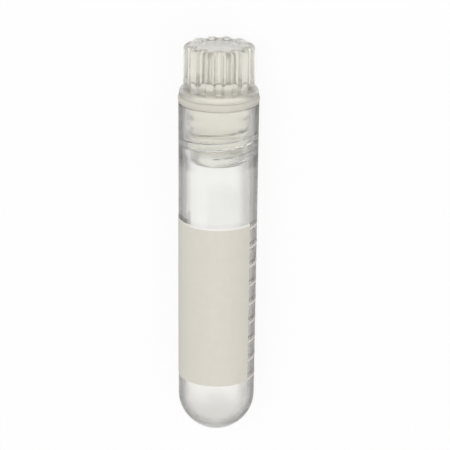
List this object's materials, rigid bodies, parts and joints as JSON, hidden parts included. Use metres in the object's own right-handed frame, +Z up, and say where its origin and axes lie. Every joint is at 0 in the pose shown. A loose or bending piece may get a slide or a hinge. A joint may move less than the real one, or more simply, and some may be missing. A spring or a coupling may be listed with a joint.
{
  "type": "cryovial",
  "caption": "Round-bottomed freezer vial in translucent plastic, lying on its side, with an internally threaded fluted screw cap, a sealing ring, a printed writing patch and graduations.",
  "frame": {"origin": "middle of the vial's length and width, at the level of the surface it lies on", "axes": "+Y along the vial's axis from the round bottom to the cap's top, +Z up from the surface it lies on, through the printed side, +X to the graduations' side"},
  "size_m": [0.0126, 0.064, 0.0127],
  "materials": {
    "tube_plastic": "gloss",
    "ring_silicone": "satin",
    "cap_plastic": "gloss",
    "printed_ink": "matte"
  },
  "bodies": {
    "tube": {"vial_tube": "tube_plastic"},
    "ring": {"sealing_ring": "ring_silicone"},
    "cap": {"screw_cap": "cap_plastic"}
  },
  "joints": [
    {"name": "cap_rise", "type": "slide", "parent": "tube", "child": "ring", "axis": [0, 1, 0], "range_m": [0, 0.0108]},
    {"name": "cap_turn", "type": "hinge", "parent": "ring", "child": "cap", "pos_m": [0, 0.0235, 0.00635], "axis": [0, 1, 0], "range_deg": [0, 1620]}
  ],
  "couplings": [
    {"joint": "cap_turn", "follows": "cap_rise", "rad_per_m": 2618}
  ]
}
